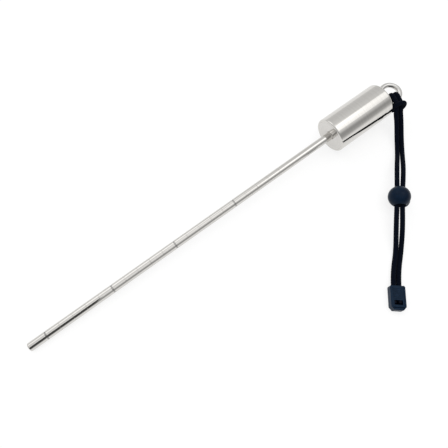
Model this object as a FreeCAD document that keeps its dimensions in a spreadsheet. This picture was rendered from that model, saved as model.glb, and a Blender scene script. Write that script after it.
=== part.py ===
"""A diver's pointer stick with a rattle barrel, a ring and a wrist lanyard, lying on a flat surface.

The stick's own frame has its origin at the middle of the rod's tip, +X along the rod towards the ring.
The lanyard's own frame has its origin on the surface below the ring's centre, +X along the lanyard.
The part's frame has +Z up and its origin on the surface, in the middle below the stick.
"""

import FreeCAD, Part
import math
import os

import Sketcher
from FreeCAD import Placement, Rotation, Vector

DIMENSIONS = [
    # the graduated rod
    ("rod_radius", 3.0),
    ("rod_visible", 251.0),
    ("tip_chamfer", 0.4),
    ("rod_seat", 0.8),
    ("thread_radius", 2.5),
    ("mark_first", 13.0),
    ("mark_pitch", 10.0),
    ("mark_count", 20),
    ("mark_width", 0.35),
    ("mark_depth", 0.15),
    ("bold_pitch", 50.0),
    ("bold_count", 4),
    ("bold_width", 1.0),
    ("bold_depth", 0.22),
    # the rattle
    ("barrel_radius", 13.25),
    ("barrel_wall", 1.5),
    ("barrel_length", 50.0),
    ("barrel_round", 1.3),
    ("front_cap_depth", 5.0),
    ("rear_cap_depth", 4.0),
    ("rod_relief", 0.9),
    ("ball_radius", 4.0),
    ("ball_gap", 0.15),
    ("ball_lane_angle", 67.0),
    # the ring
    ("ring_middle_radius", 7.1),
    ("ring_wire_radius", 1.9),
    ("ring_offset", 10.6),
    ("neck_radius", 2.4),
    ("weld_radius", 3.7),
    ("weld_depth", 1.2),
    # the cord
    ("cord_radius", 1.65),
    ("lanyard_heading", -134.5),
    ("hitch_heading", 24.0),
    ("hitch_wrap", 4.0),
    ("strand_offset", 1.72),
    ("bead_radius", 1.8),
    ("bead_length", 3.0),
    # the sprung ball lock
    ("lock_radius", 7.7),
    ("lock_along", 83.0),
    ("lock_across", 8.85),
    ("lock_tilt", 52.0),
    ("lock_bore_radius", 4.2),
    ("lock_bore_offset", 1.0),
    ("lock_edge", 0.4),
    ("plunger_radius", 4.9),
    ("plunger_running_gap", 0.07),
    ("plunger_outer", 9.135),
    ("plunger_inner", 3.4),
    ("plunger_travel", 1.6),
    ("plunger_round", 0.8),
    ("slot_half_width", 4.1),
    ("slot_half_height", 3.15),
    ("spring_pocket_radius", 2.75),
    ("spring_radius", 2.3),
    ("spring_wire_radius", 0.3),
    ("spring_turns", 1.5),
    ("spring_length", 3.2),
    # the clip on the cord's ends
    ("clip_along", 145.9),
    ("clip_across", 9.3),
    ("clip_turn", 4.0),
    ("clip_width", 10.0),
    ("clip_length", 16.4),
    ("clip_height", 5.6),
    ("clip_floor", 0.9),
    ("clip_mouth_corner", 0.8),
    ("clip_end_corner_long", 2.3),
    ("clip_end_corner_wide", 2.0),
    ("clip_edge", 0.3),
    ("clip_front_wall", 1.3),
    ("cavity_end", 15.0),
    ("cavity_half_width", 3.85),
    ("mouth_half_width", 3.55),
    ("mouth_floor", 1.0),
    ("lid_half_width", 3.75),
    ("lid_thickness", 0.9),
    ("lid_start", 0.15),
    ("hinge_along", 13.95),
    ("hinge_pin_radius", 0.5),
    ("hinge_running_gap", 0.07),
    ("hinge_pin_reach", 4.25),
    ("window_start", 9.8),
    ("window_end", 12.9),
    ("window_half_width", 2.8),
    ("rib_first", 1.6),
    ("rib_pitch", 1.1),
    ("rib_count", 7),
    ("rib_width", 0.5),
    ("rib_height", 0.22),
    ("tooth_first", 3.0),
    ("tooth_pitch", 2.2),
    ("tooth_count", 3),
    ("tooth_height", 0.18),
]

MADE_SHEET = "dims"
WHOLE_TURN = 360
STEPS_PER_COIL = 12

doc = FreeCAD.newDocument("diver_pointer_stick")
sheet = doc.addObject("Spreadsheet::Sheet", MADE_SHEET)
for row, (alias, size) in enumerate(DIMENSIONS, start=1):
    sheet.set(f"A{row}", alias)
    sheet.set(f"B{row}", str(size))
    sheet.setAlias(f"B{row}", alias)
doc.recompute()

size = {alias: float(sheet.get(alias)) for alias, _ in DIMENSIONS}
subparts = []


def bound(expression):
    """An expression over the sheet's aliases, with the sheet's name put before each alias."""
    words = []
    for word in expression.split():
        words.append(f"{MADE_SHEET}.{word}" if word in size else word)
    return " ".join(words)


def value_of(expression):
    return float(sheet.evalExpression(bound(expression)))


# ---------------------------------------------------------------- building blocks


def new_body(label):
    body = doc.addObject("PartDesign::Body", label)
    body.Label = label
    subparts.append(body)
    return body


def new_sketch(body, name, role, offset=None):
    """A sketch on one of its own body's origin planes, moved along the plane's normal by offset."""
    sketch = body.newObject("Sketcher::SketchObject", name)
    plane = next(p for p in body.Origin.OriginFeatures if p.Role == role)
    sketch.AttachmentSupport = [(plane, "")]
    sketch.MapMode = "FlatFace"
    if offset is not None:
        sketch.setExpression("AttachmentOffset.Base.z", bound(offset))
    return sketch


def hold_point(sketch, geometry, end, x, y):
    """Ties a point of a sketch to the sketch's origin by two sizes."""
    for kind, axis, expression in (("DistanceX", -2, x), ("DistanceY", -1, y)):
        value = value_of(expression)
        if abs(value) < 1e-9:
            sketch.addConstraint(Sketcher.Constraint("PointOnObject", geometry, end, axis))
            continue
        number = sketch.addConstraint(Sketcher.Constraint(kind, -1, 1, geometry, end, value))
        sketch.setExpression(f"Constraints[{number}]", bound(expression))


def draw_outline(sketch, corners):
    """A closed outline of straight sides, each corner held by two expressions."""
    places = [Vector(value_of(x), value_of(y), 0) for x, y in corners]
    first = sketch.GeometryCount
    count = len(corners)
    for i in range(count):
        sketch.addGeometry(Part.LineSegment(places[i], places[(i + 1) % count]))
    for i in range(count):
        after = first + (i + 1) % count
        sketch.addConstraint(Sketcher.Constraint("Coincident", first + i, 2, after, 1))
    for i, (x, y) in enumerate(corners):
        hold_point(sketch, first + i, 1, x, y)


def draw_box(sketch, x0, x1, y0, y1):
    draw_outline(sketch, [(x0, y0), (x1, y0), (x1, y1), (x0, y1)])


def draw_circle(sketch, x, y, radius):
    centre = Vector(value_of(x), value_of(y), 0)
    circle = sketch.addGeometry(Part.Circle(centre, Vector(0, 0, 1), value_of(radius)))
    hold_point(sketch, circle, 3, x, y)
    number = sketch.addConstraint(Sketcher.Constraint("Radius", circle, value_of(radius)))
    sketch.setExpression(f"Constraints[{number}]", bound(radius))


def turned(body, corners):
    """A solid of revolution about +X from an outline of (along, radius) corners."""
    sketch = new_sketch(body, f"{body.Label}_outline", "XY_Plane")
    draw_outline(sketch, corners)
    feature = body.newObject("PartDesign::Revolution", f"{body.Label}_turned")
    feature.Profile = sketch
    feature.ReferenceAxis = (sketch, ["H_Axis"])
    feature.Angle = WHOLE_TURN
    doc.recompute()
    return feature


def padded(body, name, role, draw, length, offset=None, midplane=False):
    sketch = new_sketch(body, f"{name}_outline", role, offset)
    draw(sketch)
    feature = body.newObject("PartDesign::Pad", name)
    feature.Profile = sketch
    feature.setExpression("Length", bound(length))
    feature.Midplane = midplane
    doc.recompute()
    return feature


def pocketed(body, name, role, draw, length=None, offset=None):
    """A pocket to a length below its sketch, or right through both ways where no length is given."""
    before = body.Shape.Volume
    sketch = new_sketch(body, f"{name}_outline", role, offset)
    draw(sketch)
    feature = body.newObject("PartDesign::Pocket", name)
    feature.Profile = sketch
    if length is None:
        feature.Type = "ThroughAll"
        feature.Midplane = True
    else:
        feature.setExpression("Length", bound(length))
    doc.recompute()
    if body.Shape.Volume >= before - 1e-6:
        raise RuntimeError(f"{name} cuts nothing")
    return feature


def repeated(body, feature, direction, pitch, count):
    pattern = body.newObject("PartDesign::LinearPattern", f"{feature.Name}_row")
    pattern.Originals = [feature]
    pattern.Direction = direction
    pattern.Mode = "Spacing"
    pattern.setExpression("Offset", bound(pitch))
    pattern.setExpression("Occurrences", bound(count))
    body.Tip = pattern
    doc.recompute()
    return pattern


def edges_where(shape, wanted):
    return [f"Edge{i}" for i, edge in enumerate(shape.Edges, start=1) if wanted(edge)]


def is_circle(edge, radius):
    return isinstance(edge.Curve, Part.Circle) and abs(edge.Curve.Radius - radius) < 1e-6


def rounded(body, name, wanted, radius):
    base = body.Tip
    feature = body.newObject("PartDesign::Fillet", name)
    feature.Base = (base, edges_where(base.Shape, wanted))
    feature.setExpression("Radius", bound(radius))
    doc.recompute()
    return feature


def bevelled(body, name, wanted, width):
    base = body.Tip
    feature = body.newObject("PartDesign::Chamfer", name)
    feature.Base = (base, edges_where(base.Shape, wanted))
    feature.setExpression("Size", bound(width))
    doc.recompute()
    return feature


def primitive(kind, name, **sizes):
    """A Part primitive with its sizes bound to the sheet."""
    made = doc.addObject(f"Part::{kind}", name)
    for prop, expression in sizes.items():
        made.setExpression(prop, bound(expression))
    doc.recompute()
    return made


def fused(label, pieces):
    whole = doc.addObject("Part::MultiFuse", label)
    whole.Label = label
    whole.Shapes = pieces
    whole.Refine = True
    subparts.append(whole)
    doc.recompute()
    return whole


def plain_feature(label, shape, place):
    """A Part::Feature, whose Placement is set after its Shape."""
    made = doc.addObject("Part::Feature", label)
    made.Label = label
    made.Shape = shape
    made.Placement = place
    subparts.append(made)
    return made


# ---------------------------------------------------------------- where the frames stand

# The stick lies on the rod's tip and on the rattle's front rim, so it rises a little towards the ring.
rise = math.atan(
    (size["barrel_radius"] - size["rod_radius"])
    / (size["rod_visible"] + size["barrel_round"] - size["tip_chamfer"])
)
tip_height = size["rod_radius"] * math.cos(rise) - size["tip_chamfer"] * math.sin(rise)
rear_face = size["rod_visible"] + size["barrel_length"]
ring_centre = rear_face + size["ring_offset"]
stick_low_x = -(size["rod_radius"] - size["tip_chamfer"]) * math.sin(rise)
stick_high_x = (ring_centre + size["ring_middle_radius"]) * math.cos(rise) + size["ring_wire_radius"]
middle_x = (stick_low_x + stick_high_x) / 2
stick_place = Placement(Vector(-middle_x, 0, tip_height), Rotation(Vector(0, 1, 0), -math.degrees(rise)))

ring_x = ring_centre * math.cos(rise) - middle_x
ring_height = tip_height + ring_centre * math.sin(rise)
lanyard_place = Placement(Vector(ring_x, 0, 0), Rotation(Vector(0, 0, 1), size["lanyard_heading"]))

clip_in_lanyard = Placement(
    Vector(size["clip_along"], size["clip_across"], 0), Rotation(Vector(0, 0, 1), size["clip_turn"])
)
clip_place = lanyard_place.multiply(clip_in_lanyard)

# The lock rests on the edge of its plunger, whose axis points down and sideways.
lock_tilt = math.radians(size["lock_tilt"])
plunger_edge_radius = size["plunger_radius"] - size["plunger_round"]
plunger_edge_reach = size["plunger_outer"] - size["plunger_round"]
lock_height = (
    plunger_edge_reach * math.sin(lock_tilt)
    + plunger_edge_radius * math.cos(lock_tilt)
    + size["plunger_round"]
)
lock_in_lanyard = Placement(
    Vector(size["lock_along"], size["lock_across"], lock_height),
    Rotation(Vector(1, 0, 0), -90 - size["lock_tilt"]),
)
lock_place = lanyard_place.multiply(lock_in_lanyard)
bore_height = lock_height - size["lock_bore_offset"] * math.sin(lock_tilt)
bore_across = size["lock_across"] + size["lock_bore_offset"] * math.cos(lock_tilt)


# ---------------------------------------------------------------- rod


def make_rod():
    body = new_body("pointer_rod")
    shoulder = "rod_visible + rod_seat"
    spigot_end = "rod_visible + front_cap_depth"
    turned(
        body,
        [
            ("0", "0"),
            ("0", "rod_radius - tip_chamfer"),
            ("tip_chamfer", "rod_radius"),
            (shoulder, "rod_radius"),
            (shoulder, "thread_radius"),
            (spigot_end, "thread_radius"),
            (spigot_end, "0"),
        ],
    )
    for name, width, depth, pitch, count in (
        ("centimetre_mark", "mark_width", "mark_depth", "mark_pitch", "mark_count"),
        ("bold_mark", "bold_width", "bold_depth", "bold_pitch", "bold_count"),
    ):
        before = body.Shape.Volume
        sketch = new_sketch(body, f"{name}_outline", "XY_Plane")
        draw_box(
            sketch,
            f"mark_first - {width} / 2",
            f"mark_first + {width} / 2",
            f"rod_radius - {depth}",
            "rod_radius + 0.5",
        )
        groove = body.newObject("PartDesign::Groove", name)
        groove.Profile = sketch
        groove.ReferenceAxis = (sketch, ["H_Axis"])
        groove.Angle = WHOLE_TURN
        doc.recompute()
        repeated(body, groove, (sketch, ["H_Axis"]), pitch, count)
        if body.Shape.Volume >= before - 1e-6:
            raise RuntimeError(f"{name} cuts nothing")
    body.Placement = stick_place


# ---------------------------------------------------------------- rattle


def make_front_cap():
    """A disc with a counterbore for the rod's end and a relief ring around the rod."""
    body = new_body("rattle_front_cap")
    inside = "barrel_radius - barrel_wall"
    back = "rod_visible + front_cap_depth"
    seat = "rod_visible + rod_seat"
    turned(
        body,
        [
            ("rod_visible", "rod_radius + rod_relief"),
            ("rod_visible", inside),
            (back, inside),
            (back, "thread_radius"),
            (seat, "thread_radius"),
            (seat, "rod_radius"),
        ],
    )
    body.Placement = stick_place


def make_barrel():
    body = new_body("rattle_barrel")
    end = "rod_visible + barrel_length"
    inside = "barrel_radius - barrel_wall"
    turned(
        body,
        [
            ("rod_visible", inside),
            ("rod_visible", "barrel_radius"),
            (end, "barrel_radius"),
            (end, inside),
        ],
    )
    rounded(body, "barrel_rims", lambda edge: is_circle(edge, size["barrel_radius"]), "barrel_round")
    body.Placement = stick_place


def make_rear_cap():
    body = new_body("rattle_rear_cap")
    start = "rod_visible + barrel_length - rear_cap_depth"
    end = "rod_visible + barrel_length"
    inside = "barrel_radius - barrel_wall"
    turned(body, [(start, "0"), (start, inside), (end, inside), (end, "0")])
    body.Placement = stick_place


def make_rattle_balls():
    """Three loose balls, side by side in the barrel's lower half against the front cap."""
    along = size["rod_visible"] + size["front_cap_depth"] + size["ball_radius"] + size["ball_gap"]
    out = size["barrel_radius"] - size["barrel_wall"] - size["ball_radius"] - size["ball_gap"]
    for number, lane in enumerate((-1, 0, 1), start=1):
        ball = primitive("Sphere", f"rattle_ball_{number}", Radius="ball_radius")
        ball.Label = f"rattle_ball_{number}"
        angle = math.radians(lane * size["ball_lane_angle"])
        centre = Vector(along, out * math.sin(angle), -out * math.cos(angle))
        ball.Placement = stick_place.multiply(Placement(centre, Rotation()))
        subparts.append(ball)


# ---------------------------------------------------------------- ring


def make_ring():
    """A closed ring with a short neck, welded to the rattle's rear cap, flat around the stick's axis."""
    ring = primitive("Torus", "ring_loop", Radius1="ring_middle_radius", Radius2="ring_wire_radius")
    ring.Placement = Placement(Vector(ring_centre, 0, 0), Rotation())
    neck_length = "ring_offset - ring_middle_radius"
    neck = primitive("Cylinder", "ring_neck", Radius="neck_radius", Height=neck_length)
    weld = primitive("Cone", "ring_weld", Radius1="weld_radius", Radius2="neck_radius", Height="weld_depth")
    for piece in (neck, weld):
        piece.Placement = Placement(Vector(rear_face, 0, 0), Rotation(Vector(0, 1, 0), 90))
    whole = fused("eye_ring", [ring, neck, weld])
    whole.Placement = stick_place


# ---------------------------------------------------------------- cord


strand_start = size["ring_middle_radius"] + 2.9
strand_leaves_hitch = 13.2


def from_hitch(out, side, height):
    """A place in the lanyard's frame, from its distance out of the ring's centre and to one side."""
    turn = math.radians(size["hitch_heading"])
    along = out * math.cos(turn) - side * math.sin(turn)
    across = out * math.sin(turn) + side * math.cos(turn)
    return Vector(along, across, height)


def from_clip(along, across, height):
    return clip_in_lanyard.multVec(Vector(along, across, height))


def strand_route(side):
    """One strand's points, from the top of the hitch to its end in the clip; side is -1 or 1."""
    near = size["strand_offset"] * side
    wrap_top = ring_height + size["hitch_wrap"]
    cord_in_clip = (size["clip_floor"] + size["clip_height"] - size["lid_thickness"]) / 2
    on_floor = size["cord_radius"] + 0.05
    leaving = from_hitch(strand_leaves_hitch, 0, wrap_top)
    entering = from_clip(-2.5, 0, cord_in_clip)
    # the middle of the pair and how far each strand is to its side
    course = [
        (16.6, 5.6, 16.6, 1.85),
        (21.5, 8.5, 10.5, 1.78),
        (31.5, 11.0, 3.9, 1.75),
        (44.0, 12.4, on_floor, 1.9),
        (60.5, bore_across + 0.4, bore_height, 2.15),
        (83.0, bore_across, bore_height, 1.75),
        (105.5, bore_across - 0.25, bore_height, 2.0),
        (121.0, 11.2, on_floor, 1.8),
        (133.0, 9.7, on_floor, 1.72),
    ]
    middles = [Vector(along, across, 0) for along, across, _, _ in course]
    ahead = middles[1:] + [entering]
    behind = [leaving] + middles[:-1]
    points = [
        from_hitch(strand_start, near, wrap_top),
        from_hitch(strand_leaves_hitch, near, wrap_top - 0.25),
    ]
    for middle, after, before, (_, _, height, half_gap) in zip(middles, ahead, behind, course):
        heading = math.atan2(after.y - before.y, after.x - before.x)
        sideways = Vector(-math.sin(heading), math.cos(heading), 0) * side * half_gap
        points.append(middle + sideways + Vector(0, 0, height))
    points += [
        from_clip(-2.5, near * 1.04, cord_in_clip - 0.1),
        from_clip(3.5, near, cord_in_clip),
        from_clip(9.3, side * (size["bead_radius"] + 0.04), cord_in_clip),
    ]
    return points


def hitch_route():
    """The cow hitch: over the ring's wire, under it, around both strands and back the same way."""
    near = size["strand_offset"]
    top = ring_height + size["hitch_wrap"]
    bottom = ring_height - size["hitch_wrap"]
    inner = size["ring_middle_radius"] - size["hitch_wrap"] - 0.25
    half = [
        (strand_start, near, top),
        (inner, near, top),
        (inner, near, bottom),
        (10.9, near, bottom),
        (14.3, 3.95, bottom + 1.9),
        (14.1, 3.95, top + 1.9),
    ]
    left = [from_hitch(out, -side, height) for out, side, height in half]
    right = [from_hitch(out, side, height) for out, side, height in reversed(half)]
    return left + right


def corner_radius(before, corner, after):
    """The radius of the largest arc that a corner's two runs leave room for."""
    arriving = corner - before
    leaving = after - corner
    half_turn = arriving.getAngle(leaving) / 2
    return 0.45 * min(arriving.Length, leaving.Length) / math.tan(half_turn)


def route_wire(points):
    """Straight runs between the points, joined by tangent arcs. Returns the wire and the arcs' radii."""
    edges = []
    radii = []
    start = points[0]
    for before, corner, after in zip(points, points[1:], points[2:]):
        arriving = (corner - before).normalize()
        leaving = (after - corner).normalize()
        half_turn = arriving.getAngle(leaving) / 2
        radius = corner_radius(before, corner, after)
        reach = radius * math.tan(half_turn)
        arc_start = corner - arriving * reach
        arc_end = corner + leaving * reach
        inward = (leaving - arriving).normalize()
        arc_middle = corner + inward * (radius / math.cos(half_turn) - radius)
        edges.append(Part.LineSegment(start, arc_start).toShape())
        edges.append(Part.Arc(arc_start, arc_middle, arc_end).toShape())
        radii.append(radius)
        start = arc_end
    edges.append(Part.LineSegment(start, points[-1]).toShape())
    return Part.Wire(edges), radii


def make_cord(label, points):
    wire, radii = route_wire(points)
    direction = points[1] - points[0]
    section = Part.Wire(Part.makeCircle(size["cord_radius"], points[0], direction))
    tube = wire.makePipeShell([section], True, False)
    if tube.Volume < 0:
        tube.reverse()
    expected = math.pi * size["cord_radius"] ** 2 * wire.Length
    print(
        f"{label}: length {wire.Length:.1f} mm, volume / (section x length) {tube.Volume / expected:.4f}, "
        f"radii {[round(radius, 1) for radius in radii]}"
    )
    plain_feature(label, tube, lanyard_place)


def make_end_bead(label, side):
    """The melted end of a strand, a short fat stub that the clip's teeth can't let through."""
    bead = new_body(label)
    turned(bead, [("0", "0"), ("0", "bead_radius"), ("bead_length", "bead_radius"), ("bead_length", "0")])
    rounded(bead, f"{label}_rims", lambda edge: is_circle(edge, size["bead_radius"]), "bead_radius * 0.35")
    before, end = strand_route(side)[-2:]
    heading = Rotation(Vector(1, 0, 0), end - before)
    bead.Placement = lanyard_place.multiply(Placement(end, heading))


# ---------------------------------------------------------------- ball lock


def make_lock_body():
    """A ball with a round hole for both strands and a blind bore across it for the plunger."""
    body = new_body("ball_lock_body")
    ball = body.newObject("PartDesign::AdditiveSphere", "lock_ball")
    ball.setExpression("Radius", bound("lock_radius"))
    doc.recompute()
    pocketed(
        body,
        "cord_hole",
        "YZ_Plane",
        lambda sketch: draw_circle(sketch, "0", "lock_bore_offset", "lock_bore_radius"),
    )
    rounded(body, "cord_hole_lips", is_lip, "lock_edge")
    pocketed(
        body,
        "plunger_bore",
        "XY_Plane",
        lambda sketch: draw_circle(sketch, "0", "0", "plunger_radius + plunger_running_gap"),
        length="plunger_inner + plunger_travel + lock_radius * 1.2",
        offset="lock_radius * 1.2",
    )
    pocketed(
        body,
        "spring_pocket",
        "XY_Plane",
        lambda sketch: draw_circle(sketch, "0", "0", "spring_pocket_radius"),
        length="spring_length + 2 * plunger_inner",
        offset="plunger_inner",
    )
    body.Placement = lock_place


def is_lip(edge):
    """Is this an edge where the cord hole leaves the ball?"""
    box = edge.BoundBox
    radius = size["lock_bore_radius"]
    return abs(box.YLength - 2 * radius) < 0.1 and abs(box.ZLength - 2 * radius) < 0.1


def make_lock_plunger():
    """A round button with a slot for the strands, longer than the strands by the button's travel."""
    body = new_body("ball_lock_plunger")
    padded(
        body,
        "plunger_barrel",
        "XY_Plane",
        lambda sketch: draw_circle(sketch, "0", "0", "plunger_radius"),
        "plunger_outer + plunger_inner",
        offset="0 - plunger_inner",
    )
    top = size["plunger_outer"]
    rounded(body, "plunger_rim", lambda edge: abs(edge.BoundBox.ZMin - top) < 1e-6, "plunger_round")
    pocketed(
        body,
        "strand_slot",
        "YZ_Plane",
        lambda sketch: draw_box(
            sketch,
            "0 - slot_half_width",
            "slot_half_width",
            "lock_bore_offset - slot_half_height",
            "lock_bore_offset + slot_half_height + plunger_travel",
        ),
    )
    body.Placement = lock_place


def make_lock_spring():
    """A short compression spring between the plunger and the bottom of its pocket."""
    wire_radius = size["spring_wire_radius"]
    clear = wire_radius + 0.03
    height = size["spring_length"] - 2 * clear
    steps = round(size["spring_turns"] * STEPS_PER_COIL)
    places = []
    for step in range(steps + 1):
        angle = 2 * math.pi * step / STEPS_PER_COIL
        radius = size["spring_radius"]
        places.append(Vector(radius * math.cos(angle), radius * math.sin(angle), height * step / steps))
    line = Part.BSplineCurve()
    line.interpolate(places)
    section = Part.Wire(Part.makeCircle(wire_radius, places[0], line.tangent(0)[0]))
    coil = Part.Wire(line.toShape()).makePipeShell([section], True, True)
    bottom = clear - size["plunger_inner"] - size["spring_length"]
    on_pocket_floor = Placement(Vector(0, 0, bottom), Rotation())
    plain_feature("ball_lock_spring", coil, lock_place.multiply(on_pocket_floor))


# ---------------------------------------------------------------- cord-end clip


def make_clip_body():
    """A tray open at its top and at its mouth, with two rails that hold the lid's pins."""
    body = new_body("clip_body")
    half = "clip_width / 2"
    end = "clip_length"
    near_end = "clip_length - clip_end_corner_long"
    outline = [
        ("clip_mouth_corner", half),
        (near_end, half),
        (end, f"{half} - clip_end_corner_wide"),
        (end, f"clip_end_corner_wide - {half}"),
        (near_end, f"0 - {half}"),
        ("clip_mouth_corner", f"0 - {half}"),
        ("0", f"clip_mouth_corner - {half}"),
        ("0", f"{half} - clip_mouth_corner"),
    ]
    padded(body, "clip_block", "XY_Plane", lambda sketch: draw_outline(sketch, outline), "clip_height")
    top = size["clip_height"]
    bevelled(body, "clip_top_edge", lambda edge: abs(edge.BoundBox.ZMin - top) < 1e-6, "clip_edge")
    pocketed(
        body,
        "lid_seat",
        "XY_Plane",
        lambda sketch: draw_box(
            sketch, "0 - 1", "cavity_end", "0 - cavity_half_width", "cavity_half_width"
        ),
        length="lid_thickness + 0.05",
        offset="clip_height",
    )
    pocketed(
        body,
        "cavity",
        "XY_Plane",
        lambda sketch: draw_box(
            sketch, "clip_front_wall", "cavity_end", "0 - cavity_half_width", "cavity_half_width"
        ),
        length="clip_height - clip_floor",
        offset="clip_height",
    )
    pocketed(
        body,
        "mouth",
        "XY_Plane",
        lambda sketch: draw_box(
            sketch, "0 - 1", "clip_front_wall + 0.5", "0 - mouth_half_width", "mouth_half_width"
        ),
        length="clip_height - mouth_floor",
        offset="clip_height",
    )
    pocketed(
        body,
        "hinge_holes",
        "XZ_Plane",
        lambda sketch: draw_circle(
            sketch, "hinge_along", "clip_height - lid_thickness", "hinge_pin_radius + hinge_running_gap"
        ),
        length="2 * hinge_pin_reach + 0.2",
        offset="hinge_pin_reach + 0.1",
    )
    body.Placement = clip_place


def make_clip_lid():
    """A ribbed lid with a window, teeth below and two hinge pins at its end."""
    body = new_body("clip_lid")
    half = "lid_half_width"
    under = "clip_height - lid_thickness"
    padded(
        body,
        "lid_plate",
        "XY_Plane",
        lambda sketch: draw_box(sketch, "lid_start", "hinge_along", f"0 - {half}", half),
        "lid_thickness - rib_height",
        offset=under,
    )
    padded(
        body,
        "lid_barrel",
        "XZ_Plane",
        lambda sketch: draw_circle(sketch, "hinge_along", under, "lid_thickness"),
        "2 * lid_half_width",
        midplane=True,
    )
    padded(
        body,
        "lid_pins",
        "XZ_Plane",
        lambda sketch: draw_circle(sketch, "hinge_along", under, "hinge_pin_radius"),
        "2 * hinge_pin_reach",
        midplane=True,
    )
    rib = padded(
        body,
        "lid_rib",
        "XY_Plane",
        lambda sketch: draw_box(
            sketch, "rib_first", "rib_first + rib_width", f"0.6 - {half}", f"{half} - 0.6"
        ),
        "rib_height + 0.1",
        offset="clip_height - rib_height - 0.1",
    )
    across = next(line for line in body.Origin.OriginFeatures if line.Role == "X_Axis")
    repeated(body, rib, (across, [""]), "rib_pitch", "rib_count")
    tooth = padded(
        body,
        "lid_tooth",
        "XZ_Plane",
        lambda sketch: draw_outline(
            sketch,
            [
                ("tooth_first - tooth_height", f"{under} + 0.05"),
                ("tooth_first + tooth_height", f"{under} + 0.05"),
                ("tooth_first", f"{under} - tooth_height"),
            ],
        ),
        "2 * mouth_half_width",
        midplane=True,
    )
    repeated(body, tooth, (across, [""]), "tooth_pitch", "tooth_count")
    pocketed(
        body,
        "window",
        "XY_Plane",
        lambda sketch: draw_box(
            sketch, "window_start", "window_end", "0 - window_half_width", "window_half_width"
        ),
        length="3 * lid_thickness",
        offset="clip_height + lid_thickness",
    )
    body.Placement = clip_place


# ---------------------------------------------------------------- the whole part

make_rod()
make_front_cap()
make_barrel()
make_rear_cap()
make_rattle_balls()
make_ring()
make_cord("lanyard_hitch", hitch_route())
make_cord("lanyard_strand_left", strand_route(-1))
make_cord("lanyard_strand_right", strand_route(1))
make_end_bead("cord_end_bead_left", -1)
make_end_bead("cord_end_bead_right", 1)
make_lock_body()
make_lock_plunger()
make_lock_spring()
make_clip_body()
make_clip_lid()
doc.recompute()

failed = [item.Name for item in doc.Objects if "Invalid" in item.State or "Error" in item.State]
for item in subparts:
    if item.Shape.isNull() or not item.Shape.isValid() or not item.Shape.Solids:
        failed.append(item.Label)
if failed:
    raise RuntimeError(f"not built: {failed}")

print(f"ring centre x {ring_x:.3f} height {ring_height:.3f}")
print(f"rise {math.degrees(rise):.4f} deg, middle {middle_x:.3f}, tip height {tip_height:.3f}")
print(f"lock height {lock_height:.3f}, bore {bore_across:.3f} {bore_height:.3f}")
os.makedirs("parts", exist_ok=True)
for item in subparts:
    item.Shape.exportStep(f"parts/{item.Label}.step")
    box = item.Shape.BoundBox
    shape = item.Shape
    print(f"{item.Label}: {len(shape.Solids)} solid, {shape.Volume:.2f} mm3, lowest {box.ZMin:.3f}")
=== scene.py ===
"""A diver's steel pointer stick with a rattle barrel and a braided wrist lanyard, in a studio.

Lengths are written in millimetres, and MM turns them into metres.
The camera's clipping and the overhead panel are in metres, and noise scales are in cells a metre.
The stick's own frame has its origin at the middle of the rod's tip, +X towards the ring.
The lanyard's own frame has its origin on the floor below the ring's centre, +X along the lanyard.
"""

import math

import bmesh
import bpy
from mathutils import Matrix, Vector, noise


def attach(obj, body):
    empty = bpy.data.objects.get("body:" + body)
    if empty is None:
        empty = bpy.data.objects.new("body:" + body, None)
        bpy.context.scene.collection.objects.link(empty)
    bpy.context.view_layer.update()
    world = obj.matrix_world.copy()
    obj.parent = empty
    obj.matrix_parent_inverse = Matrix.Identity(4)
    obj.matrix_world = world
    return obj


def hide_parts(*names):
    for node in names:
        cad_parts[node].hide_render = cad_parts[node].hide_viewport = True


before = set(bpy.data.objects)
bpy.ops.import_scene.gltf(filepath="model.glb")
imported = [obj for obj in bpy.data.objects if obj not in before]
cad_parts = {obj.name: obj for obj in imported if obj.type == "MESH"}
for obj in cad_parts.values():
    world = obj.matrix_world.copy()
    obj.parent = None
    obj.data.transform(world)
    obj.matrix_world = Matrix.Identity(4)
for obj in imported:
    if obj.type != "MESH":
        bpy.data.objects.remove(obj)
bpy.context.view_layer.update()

MM = 0.001
MICRON = 0.000001


# ---------------------------------------------------------------- frames

RISE = math.radians(2.3301)
TIP_HEIGHT = 2.981
MIDDLE_X = 160.115
STICK = Matrix.Translation(Vector((-MIDDLE_X, 0, TIP_HEIGHT)) * MM) @ Matrix.Rotation(-RISE, 4, "Y")

RING_X = 151.227
RING_HEIGHT = 15.650
HEADING = math.radians(-134.5)
LANYARD = Matrix.Translation(Vector((RING_X, 0, 0)) * MM) @ Matrix.Rotation(HEADING, 4, "Z")

CLIP_ALONG, CLIP_ACROSS = 145.9, 9.3
CLIP_TURN = math.radians(4.0)
CLIP_PLACE = Vector((CLIP_ALONG, CLIP_ACROSS, 0)) * MM
CLIP_IN_LANYARD = Matrix.Translation(CLIP_PLACE) @ Matrix.Rotation(CLIP_TURN, 4, "Z")
CLIP = LANYARD @ CLIP_IN_LANYARD


# ---------------------------------------------------------------- camera

CAMERA_PLACE = (-74.83, -92.99, 290.50)
CAMERA_RIGHT = (0.80323, -0.59566, 0.0)
CAMERA_UP = (0.55764, 0.75196, 0.35156)
CAMERA_FORWARD = (0.20941, 0.28239, -0.93616)
FOCAL_LENGTH = 35.02


def add_camera():
    right, up, forward = (Vector(axis) for axis in (CAMERA_RIGHT, CAMERA_UP, CAMERA_FORWARD))
    camera = bpy.data.objects.new("camera", bpy.data.cameras.new("camera"))
    bpy.context.scene.collection.objects.link(camera)
    turn = Matrix((right, up, -forward)).transposed().to_4x4()
    camera.matrix_world = Matrix.Translation(Vector(CAMERA_PLACE) * MM) @ turn
    camera.data.sensor_width = 36.0
    camera.data.lens = FOCAL_LENGTH
    camera.data.clip_start = 0.01
    camera.data.clip_end = 20.0
    bpy.context.scene.camera = camera


add_camera()


# ---------------------------------------------------------------- node helpers


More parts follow.
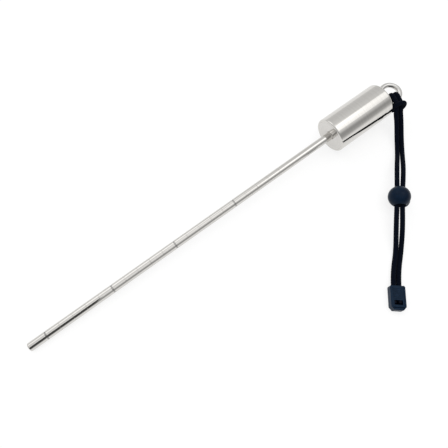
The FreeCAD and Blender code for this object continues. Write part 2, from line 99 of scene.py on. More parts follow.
class Graph:
    """A short way to write a node tree."""

    def __init__(self, tree):
        self.tree = tree
        tree.nodes.clear()

    def add(self, kind, inputs=None, **settings):
        node = self.tree.nodes.new(kind)
        for name, value in settings.items():
            setattr(node, name, value)
        for key, value in (inputs or {}).items():
            if isinstance(value, bpy.types.NodeSocket):
                self.tree.links.new(value, node.inputs[key])
            else:
                node.inputs[key].default_value = value
        return node

    def math(self, operation, a, b=0.0, clamp=False):
        return self.add("ShaderNodeMath", {0: a, 1: b}, operation=operation, use_clamp=clamp).outputs[0]

    def spread(self, value, low, high, to_low=0.0, to_high=1.0, smooth=False):
        """A value's range turned into another, with its ends held."""
        kind = "SMOOTHSTEP" if smooth else "LINEAR"
        inputs = {"Value": value, "From Min": low, "From Max": high, "To Min": to_low, "To Max": to_high}
        return self.add("ShaderNodeMapRange", inputs, interpolation_type=kind, clamp=True).outputs["Result"]

    def noise(self, vector, scale, detail):
        inputs = {"Vector": vector, "Scale": scale, "Detail": detail, "Roughness": 0.55}
        return self.add("ShaderNodeTexNoise", inputs).outputs["Fac"]

    def noise_1d(self, value, scale, detail):
        inputs = {"W": value, "Scale": scale, "Detail": detail, "Roughness": 0.6}
        return self.add("ShaderNodeTexNoise", inputs, noise_dimensions="1D").outputs["Fac"]

    def ramp(self, value, stops):
        """A colour that changes with a value, from (value, colour) stops."""
        node = self.add("ShaderNodeValToRGB", {"Fac": value})
        elements = node.color_ramp.elements
        while len(elements) < len(stops):
            elements.new(1.0)
        for element, (place, colour) in zip(elements, stops):
            element.position = place
            element.color = (*colour, 1.0)
        return node.outputs["Color"]

    def mix(self, factor, a, b):
        """Colour a turned into colour b by a factor."""
        node = self.add("ShaderNodeMix", data_type="RGBA")
        for socket, value in ((node.inputs[0], factor), (node.inputs[6], a), (node.inputs[7], b)):
            if isinstance(value, bpy.types.NodeSocket):
                self.tree.links.new(value, socket)
            elif isinstance(value, tuple):
                socket.default_value = (*value, 1.0)
            else:
                socket.default_value = value
        return node.outputs[2]

    def bump(self, height, distance, normal=None):
        inputs = {"Height": height, "Distance": distance, "Strength": 1.0}
        if normal is not None:
            inputs["Normal"] = normal
        return self.add("ShaderNodeBump", inputs).outputs["Normal"]


def new_material(name):
    made = bpy.data.materials.new(name)
    made.use_nodes = True
    graph = Graph(made.node_tree)
    shader = graph.add("ShaderNodeBsdfPrincipled")
    output = graph.add("ShaderNodeOutputMaterial")
    made.node_tree.links.new(shader.outputs["BSDF"], output.inputs["Surface"])
    return made, graph, shader


def plug(graph, shader, **sockets):
    """Each named socket gets a link or a value; a name's underscores stand for spaces."""
    for name, value in sockets.items():
        socket = shader.inputs[name.replace("_", " ")]
        if isinstance(value, bpy.types.NodeSocket):
            graph.tree.links.new(value, socket)
        else:
            socket.default_value = value


def object_place(graph):
    return graph.add("ShaderNodeTexCoord").outputs["Object"]


# ---------------------------------------------------------------- materials


def turned_steel(name, tint, roughness, line_depth, band_contrast):
    """Polished steel turned about its own X axis: fine rings, faint bands, smudges, small scratches."""
    made, graph, shader = new_material(name)
    place = object_place(graph)
    axes = graph.add("ShaderNodeSeparateXYZ", {"Vector": place}).outputs
    y_squared = graph.math("MULTIPLY", axes["Y"], axes["Y"])
    z_squared = graph.math("MULTIPLY", axes["Z"], axes["Z"])
    radius = graph.math("SQRT", graph.math("ADD", y_squared, z_squared))
    course = graph.math("ADD", axes["X"], radius)
    fine = graph.noise_1d(course, 9000.0, detail=2.0)
    bands = graph.noise_1d(course, 900.0, detail=3.0)
    smudge = graph.noise(place, 90.0, detail=4.0)
    long_grain = {"Vector": place, "Rotation": (0.3, 0.2, 0.5), "Scale": (4000.0, 260.0, 260.0)}
    scratch_place = graph.add("ShaderNodeMapping", long_grain).outputs["Vector"]
    scratches = graph.spread(graph.noise(scratch_place, 1.0, detail=1.0), 0.70, 0.78)
    dull = tuple(channel * (1.0 - band_contrast) for channel in tint)
    colour = graph.mix(graph.spread(bands, 0.35, 0.65), dull, tint)
    rough = graph.spread(smudge, 0.35, 0.7, roughness * 0.8, roughness * 1.35)
    rough = graph.math("ADD", rough, graph.math("MULTIPLY", scratches, 0.10), clamp=True)
    normal = graph.bump(fine, line_depth)
    normal = graph.bump(bands, line_depth * 0.6, normal=normal)
    plug(graph, shader, Base_Color=colour, Roughness=rough, Normal=normal, Metallic=1.0)
    return made


def plain_steel(name, tint, roughness, grain_depth):
    """Steel with a tumbled finish: small dents, soft smudges."""
    made, graph, shader = new_material(name)
    place = object_place(graph)
    grain = graph.noise(place, 2500.0, detail=3.0)
    smudge = graph.noise(place, 240.0, detail=4.0)
    colour = graph.mix(graph.spread(smudge, 0.35, 0.7), tuple(c * 0.86 for c in tint), tint)
    rough = graph.spread(smudge, 0.3, 0.7, roughness * 0.75, roughness * 1.4)
    normal = graph.bump(grain, grain_depth)
    plug(graph, shader, Base_Color=colour, Roughness=rough, Normal=normal, Metallic=1.0)
    return made


FILAMENTS = 7
LINT_COLOUR = (0.02, 0.023, 0.034)


def braid_material(name, dark, light):
    """Polyester braid: filaments along each yarn, a painted highlight on each yarn's crest and painted
    shade between the yarns, a little lint.

    It reads the attributes that braided_cord leaves on each vertex.
    """
    made, graph, shader = new_material(name)
    place = object_place(graph)
    across = graph.add("ShaderNodeAttribute", attribute_name="yarn_across").outputs["Fac"]
    crest = graph.add("ShaderNodeAttribute", attribute_name="yarn_crest").outputs["Fac"]
    filaments = graph.math("SINE", graph.math("MULTIPLY", across, 2 * math.pi * FILAMENTS))
    fuzz = graph.noise(place, 5200.0, detail=3.0)
    lint = graph.spread(graph.noise(place, 1500.0, detail=2.0), 0.66, 0.76)
    # Painted highlight and shade: each yarn's crest takes the lighter colour and the furrows between yarns
    # the darker one.
    painted_crest_highlight = graph.math("MULTIPLY", crest, graph.spread(fuzz, 0.3, 0.7, 0.55, 1.0))
    colour = graph.mix(painted_crest_highlight, dark, light)
    colour = graph.mix(graph.math("MULTIPLY", lint, 0.35), colour, LINT_COLOUR)
    height = graph.math("ADD", graph.math("MULTIPLY", filaments, 0.5), fuzz)
    plug(
        graph,
        shader,
        Base_Color=colour,
        Roughness=graph.spread(fuzz, 0.3, 0.7, 0.72, 0.95),
        Normal=graph.bump(height, 60 * MICRON),
        Sheen_Weight=0.02,
        Sheen_Roughness=0.5,
        Specular_IOR_Level=0.03,
    )
    return made


def melted_material(name, dark, light):
    """Polyester melted to a smooth lump."""
    made, graph, shader = new_material(name)
    place = object_place(graph)
    swirl = graph.noise(place, 1100.0, detail=4.0)
    plug(
        graph,
        shader,
        Base_Color=graph.mix(graph.spread(swirl, 0.35, 0.7), dark, light),
        Roughness=graph.spread(swirl, 0.3, 0.7, 0.22, 0.5),
        Specular_IOR_Level=0.08,
        Normal=graph.bump(swirl, 200 * MICRON),
    )
    return made


def moulded_plastic(name, dark, light, roughness, gloss, grain_depth):
    """Dark moulded plastic with a spark-eroded grain, flow marks and rubbed spots."""
    made, graph, shader = new_material(name)
    place = object_place(graph)
    grain = graph.noise(place, 4200.0, detail=3.0)
    flow = graph.noise(place, 160.0, detail=4.0)
    rubbed = graph.spread(graph.noise(place, 420.0, detail=5.0), 0.58, 0.74)
    colour = graph.mix(graph.spread(flow, 0.35, 0.68), dark, light)
    worn = tuple(c * 1.8 for c in light)
    colour = graph.mix(graph.math("MULTIPLY", rubbed, 0.35), colour, worn)
    rough = graph.spread(grain, 0.3, 0.7, roughness * 0.85, roughness * 1.15)
    rough = graph.math("SUBTRACT", rough, graph.math("MULTIPLY", rubbed, 0.10))
    plug(
        graph,
        shader,
        Base_Color=colour,
        Roughness=rough,
        Normal=graph.bump(grain, grain_depth),
        Specular_IOR_Level=gloss,
    )
    return made


# Each steel's tint, roughness, depth of its turned lines and contrast of its bands.
ROD_STEEL = turned_steel("rod_steel", (0.655, 0.64, 0.615), 0.09, 0.2 * MICRON, 0.05)
ENGRAVED_STEEL = turned_steel("engraved_steel", (0.42, 0.413, 0.403), 0.30, 0.2 * MICRON, 0.20)
CAP_STEEL = turned_steel("cap_steel", (0.65, 0.635, 0.61), 0.07, 0.15 * MICRON, 0.04)
BARREL_STEEL = turned_steel("barrel_steel", (0.665, 0.65, 0.622), 0.07, 0.3 * MICRON, 0.06)
# The plain ones' tint, roughness and depth of their small dents.
BALL_STEEL = plain_steel("ball_steel", (0.62, 0.62, 0.61), 0.15, 4 * MICRON)
RING_STEEL = plain_steel("ring_steel", (0.68, 0.67, 0.65), 0.12, 3 * MICRON)
SPRING_STEEL = plain_steel("spring_steel", (0.58, 0.57, 0.54), 0.25, 3 * MICRON)
# Each dark material's two shades, then a plastic's roughness, gloss and grain depth. The cord's lighter
# shade is a painted highlight on its yarns' crests, its darker one painted shade between them.
CORD_BRAID = braid_material("cord_braid", (0.0005, 0.0010, 0.0030), (0.0024, 0.0046, 0.0120))
MELTED_CORD = melted_material("melted_cord", (0.0008, 0.0014, 0.0045), (0.0022, 0.0034, 0.0100))
LOCK_PLASTIC = moulded_plastic(
    "lock_plastic", (0.0008, 0.0066, 0.0185), (0.0016, 0.0104, 0.0270), 0.36, 0.10, 10 * MICRON
)
CLIP_PLASTIC = moulded_plastic(
    "clip_plastic", (0.0026, 0.0118, 0.0290), (0.0044, 0.0165, 0.0385), 0.42, 0.10, 10 * MICRON
)


def dress(obj, material):
    """The piece gets one material."""
    obj.data.materials.clear()
    obj.data.materials.append(material)


# ---------------------------------------------------------------- cord


def row_place(frame_matrix, x, y, z):
    """A place given in one of the frames above, in the row's frame."""
    return frame_matrix @ (Vector((x, y, z)) * MM)


HITCH_TURN = math.radians(24.0)


def from_hitch(out, side, height):
    """A place in the row's frame, from its distance out of the ring's centre and to one side."""
    along = out * math.cos(HITCH_TURN) - side * math.sin(HITCH_TURN)
    across = out * math.sin(HITCH_TURN) + side * math.cos(HITCH_TURN)
    return row_place(LANYARD, along, across, height)


# Each strand's distance from the middle of the pair where the two lie side by side.
NEAR = 1.72
WRAP_TOP = RING_HEIGHT + 4.0
WRAP_BOTTOM = RING_HEIGHT - 4.0
# How far out of the ring's centre a strand is over the ring's wire and where it leaves the hitch.
OVER_THE_WIRE = 10.0
LEAVES_HITCH = 13.2
ENTERS_CLIP = -2.5
ON_FLOOR = 1.70
BORE_HEIGHT = 9.104
BORE_ACROSS = 9.466
CORD_IN_CLIP = 2.8

# The middle of the pair of strands along and across the lanyard, its height, and each strand's
# distance from it.
COURSE = [
    (16.6, 5.6, 16.6, 1.85),
    (21.5, 8.5, 10.5, 1.78),
    (31.5, 11.0, 3.9, 1.75),
    (44.0, 12.4, ON_FLOOR, 1.8),
    (60.5, BORE_ACROSS + 0.4, BORE_HEIGHT, 2.4),
    (83.0, BORE_ACROSS, BORE_HEIGHT, 1.75),
    (105.5, BORE_ACROSS - 0.25, BORE_HEIGHT, 2.25),
    (121.0, 11.2, ON_FLOOR, 1.7),
    (133.0, 9.7, ON_FLOOR, 1.72),
]
# One strand's end in the clip's frame: along, to its side, height.
STRAND_IN_CLIP = [
    (ENTERS_CLIP, NEAR * 1.04, CORD_IN_CLIP - 0.1),
    (3.5, NEAR, CORD_IN_CLIP),
    (9.3, 1.84, CORD_IN_CLIP),
]


def strand_points(side):
    """One strand from the top of the hitch to its end in the clip; side is -1 or 1."""
    leaving = LANYARD.inverted() @ from_hitch(LEAVES_HITCH, 0, WRAP_TOP) / MM
    entering = CLIP_IN_LANYARD @ (Vector((ENTERS_CLIP, 0, 0)) * MM) / MM
    middles = [Vector((along, across, 0)) for along, across, _, _ in COURSE]
    points = [
        from_hitch(OVER_THE_WIRE, NEAR * side, WRAP_TOP),
        from_hitch(LEAVES_HITCH, NEAR * side, WRAP_TOP - 0.25),
    ]
    for middle, after, before, (_, _, height, half_gap) in zip(
        middles, middles[1:] + [entering], [leaving] + middles[:-1], COURSE
    ):
        heading = math.atan2(after.y - before.y, after.x - before.x)
        x = middle.x - math.sin(heading) * side * half_gap
        y = middle.y + math.cos(heading) * side * half_gap
        points.append(row_place(LANYARD, x, y, height))
    return points + [row_place(CLIP, x, y * side, z) for x, y, z in STRAND_IN_CLIP]


# How far out of the ring's centre the cord is inside the ring and under its wire.
INSIDE_RING = 2.85
UNDER_RING = 10.9
# The hitch's band round both strands.
BAND_SIDE = 3.95
BAND_LOW_OUT, BAND_LOW = 14.3, WRAP_BOTTOM + 1.9
BAND_HIGH_OUT, BAND_HIGH = 14.1, WRAP_TOP + 2.3
# The hitch from the middle of the ring's hole on the right, round both strands, to the hole's
# top on the left.
HITCH = [
    (INSIDE_RING, NEAR, RING_HEIGHT),
    (INSIDE_RING, NEAR, WRAP_BOTTOM),
    (UNDER_RING, NEAR, WRAP_BOTTOM),
    (BAND_LOW_OUT, BAND_SIDE, BAND_LOW),
    (BAND_HIGH_OUT, BAND_SIDE, BAND_HIGH),
    (BAND_HIGH_OUT, -BAND_SIDE, BAND_HIGH),
    (BAND_LOW_OUT, -BAND_SIDE, BAND_LOW),
    (UNDER_RING, -NEAR, WRAP_BOTTOM),
    (INSIDE_RING, -NEAR, WRAP_BOTTOM),
    (INSIDE_RING, -NEAR, WRAP_TOP),
]
RIGHT_START = [(INSIDE_RING, NEAR, RING_HEIGHT), (INSIDE_RING, NEAR, WRAP_TOP)]
left_route = [from_hitch(*place) for place in HITCH] + strand_points(-1)
right_route = [from_hitch(*place) for place in RIGHT_START] + strand_points(1)


SPLINE_STEPS = 52


def spline_line(points):
    """The points along the smooth NURBS line that has the given points as its control points."""
    data = bpy.data.curves.new("route", "CURVE")
    data.dimensions = "3D"
    data.resolution_u = SPLINE_STEPS
    spline = data.splines.new("NURBS")
    spline.points.add(len(points) - 1)
    for knot, point in zip(spline.points, points):
        knot.co = (*point, 1.0)
    spline.order_u = 3
    spline.use_endpoint_u = True
    carrier = bpy.data.objects.new("route", data)
    mesh = bpy.data.meshes.new_from_object(carrier)
    line = [vertex.co.copy() for vertex in mesh.vertices]
    bpy.data.meshes.remove(mesh)
    bpy.data.objects.remove(carrier)
    bpy.data.curves.remove(data)
    return line


YARNS = 8
YARN_STEP = 1.9 * MM
CORE_RADIUS = 1.45 * MM
YARN_CROWN = 0.17 * MM
YARN_WAVE = 0.06 * MM
CORD_SIDES = 40


def braid_at(angle, run):
    """(radius, place across the upper yarn, how near its crest) on a braid of crossing yarns."""
    a = YARNS * angle / (2 * math.pi) + run / YARN_STEP
    b = YARNS * angle / (2 * math.pi) - run / YARN_STEP
    found = []
    for one, other, sign in ((a, b, 1), (b, a, -1)):
        across = one - math.floor(one)
        crown = math.sqrt(max(0.0, 1 - (2 * (across - 0.5)) ** 2))
        wave = sign * math.cos(math.pi * (other - 0.5) + math.pi * math.floor(one))
        found.append((crown * YARN_CROWN + wave * YARN_WAVE, across, crown))
    height, across, crown = max(found)
    return CORE_RADIUS + YARN_WAVE + height, across, crown


def braided_cord(name, route):
    """A tube with the relief of a braid along a route's spline. Returns the object and its line."""
    line = spline_line(route)
    work = bmesh.new()
    across_layer = work.verts.layers.float.new("yarn_across")
    crest_layer = work.verts.layers.float.new("yarn_crest")
    rings = []
    run = 0.0
    heading = (line[1] - line[0]).normalized()
    side = heading.orthogonal().normalized()
    for i, middle in enumerate(line):
        ahead = line[min(i + 1, len(line) - 1)]
        behind = line[max(i - 1, 0)]
        turned_to = (ahead - behind).normalized()
        side = heading.rotation_difference(turned_to) @ side
        heading = turned_to
        side = (side - heading * side.dot(heading)).normalized()
        upward = heading.cross(side)
        run += (middle - behind).length
        ring = []
        for k in range(CORD_SIDES):
            angle = 2 * math.pi * k / CORD_SIDES
            radius, across, crest = braid_at(angle, run)
            vertex = work.verts.new(middle + (side * math.cos(angle) + upward * math.sin(angle)) * radius)
            vertex[across_layer] = across
            vertex[crest_layer] = crest
            ring.append(vertex)
        rings.append(ring)
    for lower, upper in zip(rings, rings[1:]):
        for k in range(CORD_SIDES):
            after = (k + 1) % CORD_SIDES
            work.faces.new((lower[k], lower[after], upper[after], upper[k]))
    work.faces.new(list(reversed(rings[0])))
    work.faces.new(rings[-1])
    return finished_mesh(work, name), line


SHARP_ANGLE = math.radians(40.0)


def smooth_but_for_sharp_edges(work):
    for face in work.faces:
        face.smooth = True
    for edge in work.edges:
        edge.smooth = not (len(edge.link_faces) == 2 and edge.calc_face_angle(0.0) > SHARP_ANGLE)


def finished_mesh(work, name):
    """An object from a bmesh, smooth but for its sharp edges."""
    bmesh.ops.recalc_face_normals(work, faces=work.faces)
    smooth_but_for_sharp_edges(work)
    mesh = bpy.data.meshes.new(name)
    work.to_mesh(mesh)
    work.free()
    obj = bpy.data.objects.new(name, mesh)
    bpy.context.scene.collection.objects.link(obj)
    return obj


cord_left, left_line = braided_cord("cord_left", left_route)
cord_right, right_line = braided_cord("cord_right", right_route)
for cord in (cord_left, cord_right):
    dress(cord, CORD_BRAID)
    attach(cord, "lanyard")
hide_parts("lanyard_hitch", "lanyard_strand_left")
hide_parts("lanyard_strand_right")


# ---------------------------------------------------------------- turned steel pieces


def lathe(name, outline, sides, matrix, closed=False):
    """A closed solid turned about its own X axis from (along, radius) places in millimetres.

    The outline runs from axis to axis, or round a ring's section if it is closed.
    """
    work = bmesh.new()
    rings = []
    for along, radius in outline:
        if radius == 0:
            rings.append([work.verts.new((along * MM, 0, 0))])
            continue
        ring = []
        for k in range(sides):
            angle = 2 * math.pi * k / sides
            y, z = radius * math.cos(angle), radius * math.sin(angle)
            ring.append(work.verts.new((along * MM, y * MM, z * MM)))
        rings.append(ring)
    pairs = list(zip(rings, rings[1:]))
    if closed:
        pairs.append((rings[-1], rings[0]))
    for lower, upper in pairs:
        for k in range(sides):
            after = (k + 1) % sides
            if len(lower) == 1:
                work.faces.new((lower[0], upper[after], upper[k]))
            elif len(upper) == 1:
                work.faces.new((lower[k], lower[after], upper[0]))
            else:
                work.faces.new((lower[k], lower[after], upper[after], upper[k]))
    obj = finished_mesh(work, name)
    obj.matrix_world = matrix
    return obj


def arc(middle_along, middle_radius, radius, start, end, steps):
    """Places on an arc; angles in degrees from +X, turning towards a larger radius."""
    places = []
    for step in range(steps + 1):
        angle = math.radians(start + (end - start) * step / steps)
        places.append((middle_along + radius * math.cos(angle), middle_radius + radius * math.sin(angle)))
    return places


ROD_RADIUS = 3.0
ROD_VISIBLE = 251.0
ROD_SEAT = 0.8
SPIGOT_RADIUS = 2.5
BARREL_RADIUS = 13.25
BARREL_INSIDE = 11.75
BARREL_END = 301.0
BARREL_ROUND = 1.3
FRONT_CAP_BACK = 256.0
REAR_CAP_FRONT = 297.0

FIRST_MARK = 13.0
MARK_PITCH = 10.0
MARKS = 20
MARKS_TO_A_BOLD_ONE = 5
MARK_EDGE = 0.06
BOLD_HALF_WIDTH, BOLD_DEPTH = 0.5, 0.22
FINE_HALF_WIDTH, FINE_DEPTH = 0.175, 0.15

ROD_SIDES = 72
BARREL_SIDES = 192
DISC_SIDES = 128
NECK_SIDES = 48


def is_bold(number):
    return number % MARKS_TO_A_BOLD_ONE == 0


def make_rod():
    """The graduated rod: a bevelled tip, a ring engraved at every centimetre, a bold one at every five."""
    # The second place at the full radius keeps the bevel's soft shading off the rod.
    outline = [(0.0, 0.0), (0.0, 2.45), (0.05, 2.58), (0.38, 2.93), (0.55, ROD_RADIUS), (0.8, ROD_RADIUS)]
    bold_marks = []
    for number in range(MARKS):
        middle = FIRST_MARK + MARK_PITCH * number
        half, depth = (BOLD_HALF_WIDTH, BOLD_DEPTH) if is_bold(number) else (FINE_HALF_WIDTH, FINE_DEPTH)
        if is_bold(number):
            bold_marks.append(middle)
        outline += [
            (middle - half - MARK_EDGE, ROD_RADIUS),
            (middle - half, ROD_RADIUS - MARK_EDGE),
            (middle - half + MARK_EDGE / 2, ROD_RADIUS - depth),
            (middle + half - MARK_EDGE / 2, ROD_RADIUS - depth),
            (middle + half, ROD_RADIUS - MARK_EDGE),
            (middle + half + MARK_EDGE, ROD_RADIUS),
        ]
    outline += [(ROD_VISIBLE + ROD_SEAT, ROD_RADIUS), (ROD_VISIBLE + ROD_SEAT, SPIGOT_RADIUS)]
    outline += [(FRONT_CAP_BACK, SPIGOT_RADIUS), (FRONT_CAP_BACK, 0.0)]
    rod = lathe("rod", outline, ROD_SIDES, STICK)
    dress(rod, ROD_STEEL)
    rod.data.materials.append(ENGRAVED_STEEL)
    for face in rod.data.polygons:
        corners = [rod.data.vertices[index].co / MM for index in face.vertices]
        below_surface = max(math.hypot(c.y, c.z) for c in corners) < ROD_RADIUS - MARK_EDGE / 2
        along = sum(c.x for c in corners) / len(corners)
        if below_surface and any(abs(along - mark) < BOLD_HALF_WIDTH for mark in bold_marks):
            face.material_index = 1
    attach(rod, "stick")
    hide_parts("pointer_rod")


def make_rattle():
    """A tube with rounded rims and two discs flush in its ends, with a hairline joint round each."""
    start = ROD_VISIBLE
    rim = BARREL_RADIUS - BARREL_ROUND
    joint = 0.12
    front = arc(start + BARREL_ROUND, rim, BARREL_ROUND, 180, 90, 12)
    rear = arc(BARREL_END - BARREL_ROUND, rim, BARREL_ROUND, 90, 0, 12)
    outline = [(start + joint, BARREL_INSIDE), (start, BARREL_INSIDE + joint)] + front + rear
    outline += [(BARREL_END, BARREL_INSIDE + joint), (BARREL_END - joint, BARREL_INSIDE)]
    barrel = lathe("rattle_barrel_shell", outline, BARREL_SIDES, STICK, closed=True)
    dress(barrel, BARREL_STEEL)
    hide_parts("rattle_barrel")

    relief = ROD_RADIUS + 0.9
    relief_edge = 0.15
    outline = [
        (start + ROD_SEAT, ROD_RADIUS),
        (start + relief_edge, relief - relief_edge),
        (start, relief + relief_edge),
        (start, BARREL_INSIDE - joint),
        (start + joint, BARREL_INSIDE),
        (FRONT_CAP_BACK, BARREL_INSIDE),
        (FRONT_CAP_BACK, SPIGOT_RADIUS),
        (start + ROD_SEAT, SPIGOT_RADIUS),
    ]
    front_cap = lathe("rattle_front_disc", outline, DISC_SIDES, STICK, closed=True)
    dress(front_cap, CAP_STEEL)
    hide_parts("rattle_front_cap")

    outline = [
        (REAR_CAP_FRONT, 0.0),
        (REAR_CAP_FRONT, BARREL_INSIDE),
        (BARREL_END - joint, BARREL_INSIDE),
        (BARREL_END, BARREL_INSIDE - joint),
        (BARREL_END, 0.0),
    ]
    rear_cap = lathe("rattle_rear_disc", outline, DISC_SIDES, STICK)
    dress(rear_cap, CAP_STEEL)
    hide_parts("rattle_rear_cap")
    for piece in (barrel, front_cap, rear_cap):
        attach(piece, "stick")


RING_CENTRE = 311.6
RING_MIDDLE_RADIUS = 7.1
RING_WIRE_RADIUS = 1.9
NECK_RADIUS = 2.4
# The weld starts a hair off the rear disc, so that the two faces don't lie in one plane.
WELD_GAP = 0.005


def make_ring():
    """The closed ring, its neck and the bead of weld that holds it, as one piece."""
    work = bmesh.new()
    around, about = 120, 36
    rings = []
    for i in range(around):
        angle = 2 * math.pi * i / around
        ring = []
        for k in range(about):
            turn = 2 * math.pi * k / about
            out = RING_MIDDLE_RADIUS + RING_WIRE_RADIUS * math.cos(turn)
            x = RING_CENTRE + out * math.cos(angle)
            place = Vector((x, out * math.sin(angle), RING_WIRE_RADIUS * math.sin(turn)))
            ring.append(work.verts.new(place * MM))
        rings.append(ring)
    for i in range(around):
        for k in range(about):
            j, after = (i + 1) % around, (k + 1) % about
            work.faces.new((rings[i][k], rings[j][k], rings[j][after], rings[i][after]))
    ring = finished_mesh(work, "eye_ring_steel")
    ring.matrix_world = STICK
    neck_end = RING_CENTRE - RING_MIDDLE_RADIUS
    weld = [(WELD_GAP, 0.0), (WELD_GAP, 3.65), (0.35, 3.5), (0.7, 3.05), (1.2, 2.5), (1.9, NECK_RADIUS)]
    outline = [(BARREL_END + along, radius) for along, radius in weld]
    outline += [(neck_end, NECK_RADIUS), (neck_end, 0.0)]
    neck = lathe("neck", outline, NECK_SIDES, STICK)
    join = ring.modifiers.new("join", "BOOLEAN")
    join.operation = "UNION"
    join.solver = "EXACT"
    join.object = neck
    apply_modifiers(ring)
    bpy.data.objects.remove(neck)
    dress(ring, RING_STEEL)
    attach(ring, "stick")
    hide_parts("eye_ring")


def apply_modifiers(obj):
    """The object's modifiers become its mesh, smooth but for its sharp edges."""
    bpy.context.view_layer.update()
    shown = obj.evaluated_get(bpy.context.evaluated_depsgraph_get())
    mesh = bpy.data.meshes.new_from_object(shown)
    obj.modifiers.clear()
    obj.data = mesh
    work = bmesh.new()
    work.from_mesh(mesh)
    smooth_but_for_sharp_edges(work)
    work.to_mesh(mesh)
    work.free()


make_rod()
make_rattle()
make_ring()
for number in (1, 2, 3):
    dress(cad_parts[f"rattle_ball_{number}"], BALL_STEEL)


# ---------------------------------------------------------------- lock, clip and cord ends


BEAD_SIDES = 28
LUMPS_PER_METRE = 900.0
LUMP_DEPTH = 0.3 * MM


def make_bead(side, name, node):
    """A strand's melted end: a short lump, a little lopsided."""
    before, end = (row_place(CLIP, x, y * side, z) for x, y, z in STRAND_IN_CLIP[-2:])
    outline = [(-0.35, 0.0), (-0.35, 1.45)] + arc(0.55, 1.1, 0.7, 150, 90, 4)
    outline += [(1.6, 1.78)] + arc(2.0, 0.85, 0.9, 80, 0, 6) + [(2.9, 0.0)]
    heading = (end - before).to_track_quat("X", "Z").to_matrix().to_4x4()
    bead = lathe(name, outline, BEAD_SIDES, Matrix.Translation(end) @ heading)
    for vertex in bead.data.vertices:
        lump = noise.noise(vertex.co * LUMPS_PER_METRE + Vector((side, 0, 0)))
        vertex.co += vertex.co.normalized() * min(0.0, lump) * LUMP_DEPTH
    dress(bead, MELTED_CORD)
    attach(bead, "lanyard")
    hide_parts(node)
    return bead


bead_left = make_bead(-1, "cord_end_left", "cord_end_bead_left")
bead_right = make_bead(1, "cord_end_right", "cord_end_bead_right")
for node, material, slot in (
    ("ball_lock_body", LOCK_PLASTIC, "lock_plastic"),
    ("ball_lock_plunger", LOCK_PLASTIC, "lock_plastic"),
    ("ball_lock_spring", SPRING_STEEL, "spring_steel"),
    ("clip_body", CLIP_PLASTIC, "clip_plastic"),
    ("clip_lid", CLIP_PLASTIC, "clip_plastic"),
):
    dress(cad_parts[node], material)


# ---------------------------------------------------------------- studio


def direction(azimuth, elevation):
    """A unit vector; the azimuth is from +X towards +Y, both in degrees."""
    a, e = math.radians(azimuth), math.radians(elevation)
    return Vector((math.cos(a) * math.cos(e), math.sin(a) * math.cos(e), math.sin(e)))


def grey(value):
    return (value, value, value)


# Each soft panel's azimuth, elevation, bright radius and outer radius in degrees, and strength.
PANELS = (
    (-14, 58, 16.0, 19.0, 0.42),
    (-27, 54, 8.0, 31.0, 0.32),
    (15, 76, 4.0, 20.0, 0.40),
    (98, 42, 4.0, 28.0, 0.70),
    (-112, 66, 4.0, 26.0, 0.22),
)
# The tent's brightness on its near and far sides, by the sine of the elevation.
NEAR_SIDE = (
    (0.0, 0.95),
    (0.10, 0.74),
    (0.22, 0.50),
    (0.42, 0.40),
    (0.62, 0.40),
    (0.76, 0.55),
    (0.87, 0.78),
    (1.0, 0.92),
)
FAR_SIDE = ((0.0, 0.82), (0.3, 0.74), (0.6, 0.76), (1.0, 0.92))


def make_world():
    """A light tent: white near the floor, darker on the near side, with soft bright panels."""
    world = bpy.data.worlds.new("light_tent")
    bpy.context.scene.world = world
    world.use_nodes = True
    graph = Graph(world.node_tree)
    way = graph.add("ShaderNodeTexCoord").outputs["Generated"]
    axes = graph.add("ShaderNodeSeparateXYZ", {"Vector": way})
    y, z = axes.outputs["Y"], axes.outputs["Z"]
    near_side, far_side = (
        graph.ramp(z, [(place, grey(value)) for place, value in stops]) for stops in (NEAR_SIDE, FAR_SIDE)
    )
    tent = graph.mix(graph.spread(y, -0.40, 0.25, smooth=True), near_side, far_side)
    panels = 0.0
    for azimuth, elevation, inner, outer, strength in PANELS:
        pair = {0: way, 1: direction(azimuth, elevation)}
        dot = graph.add("ShaderNodeVectorMath", pair, operation="DOT_PRODUCT").outputs["Value"]
        low, high = math.cos(math.radians(outer)), math.cos(math.radians(inner))
        panel = graph.spread(dot, low, high, 0.0, strength, smooth=True)
        panels = graph.math("ADD", panel, panels)
    light = graph.add("ShaderNodeVectorMath", {0: tent, 1: panels}, operation="ADD").outputs["Vector"]
    background = graph.add("ShaderNodeBackground", {"Color": light, "Strength": 1.0})
    output = graph.add("ShaderNodeOutputWorld")
    world.node_tree.links.new(background.outputs["Background"], output.inputs["Surface"])


def flat_piece(name, corners, material):
    """A flat piece of the studio, not of the object."""
    mesh = bpy.data.meshes.new(name)
    mesh.from_pydata([tuple(Vector(c) * MM) for c in corners], [], [tuple(range(len(corners)))])
    obj = bpy.data.objects.new(name, mesh)
    bpy.context.scene.collection.objects.link(obj)
    obj.data.materials.append(material)
    return obj


def shown_in_reflections_only(obj):
    obj.visible_camera = False
    obj.visible_diffuse = False
    obj.visible_shadow = False


# A row of low black cards that stands along the lanyard and turns with it, for the dark line along
# the barrel: along, across and top of each card's ends.
FLAG_BOTTOM = 3.0
FLAG_COURSE = [
    (22.0, 8.7, 14.5),
    (26.0, 9.8, 12.6),
    (30.0, 10.7, 11.4),
    (34.0, 11.3, 10.8),
    (40.0, 11.8, 10.4),
    (46.0, 11.6, 10.6),
    (52.0, 10.8, 11.4),
    (60.0, 9.9, 12.8),
    (68.0, 9.7, 13.4),
]
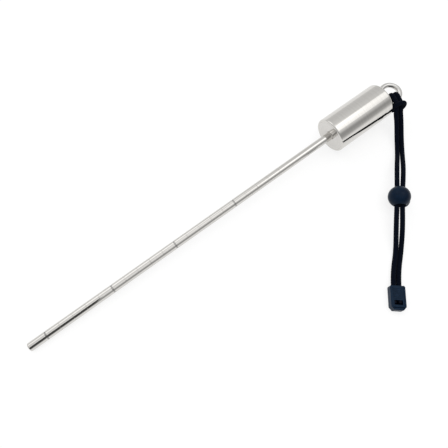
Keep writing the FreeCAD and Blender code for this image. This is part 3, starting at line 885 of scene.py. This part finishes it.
# A dark card over the near side of the rod's tip, seen only in reflections, for the dark stripe along it;
# it glows faintly, which sets how dark that reflected stripe is.
TIP_CARD = [(-208.0, -27.0, 89.0), (-219.0, -81.0, 33.0), (-125.0, -86.0, 34.0), (-121.0, -30.0, 89.0)]
FLOOR_REACH = 4000.0
WHITE = (1.0, 1.0, 1.0, 1.0)


def make_studio():
    """A softly glowing paper floor, dark cards for the steel to reflect, and a large panel overhead."""
    paper, graph, shader = new_material("floor_paper")
    place = object_place(graph)
    fibre = graph.noise(place, 900.0, detail=3.0)
    plug(
        graph,
        shader,
        Base_Color=graph.mix(fibre, grey(0.23), grey(0.25)),
        Roughness=0.9,
        Specular_IOR_Level=0.1,
        Normal=graph.bump(fibre, 20 * MICRON),
        Emission_Color=WHITE,
        Emission_Strength=0.77,
    )
    corners = [(x * FLOOR_REACH, y * FLOOR_REACH, 0) for x, y in ((-1, -1), (1, -1), (1, 1), (-1, 1))]
    flat_piece("floor", corners, paper)

    black, graph, shader = new_material("flag_black")
    plug(graph, shader, Base_Color=(0.005, 0.005, 0.007, 1.0), Roughness=1.0, Specular_IOR_Level=0.0)
    for number, (near, far) in enumerate(zip(FLAG_COURSE, FLAG_COURSE[1:]), 1):
        corners = [(near[0], near[1], FLAG_BOTTOM), (far[0], far[1], FLAG_BOTTOM), far, near]
        flag = flat_piece(f"flag_{number}", [row_place(LANYARD, *c) / MM for c in corners], black)
        shown_in_reflections_only(flag)
        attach(flag, "lanyard")
    dark, graph, shader = new_material("tip_card_dark")
    plug(graph, shader, Base_Color=(0.0, 0.0, 0.0, 1.0), Roughness=1.0, Specular_IOR_Level=0.0)
    # The card's faint glow is no lamp: it only lightens the dark stripe the rod reflects.
    plug(graph, shader, Emission_Color=WHITE, Emission_Strength=0.07)
    shown_in_reflections_only(flat_piece("tip_card", TIP_CARD, dark))

    top = bpy.data.lights.new("top_panel", "AREA")
    top.shape = "SQUARE"
    top.size = 1.6
    top.energy = 6.0
    lamp = bpy.data.objects.new("top_panel", top)
    bpy.context.scene.collection.objects.link(lamp)
    lamp.location = (0.0, 0.1, 1.5)
    lamp.visible_glossy = False
    bpy.context.scene.view_settings.view_transform = "Standard"


make_world()
make_studio()
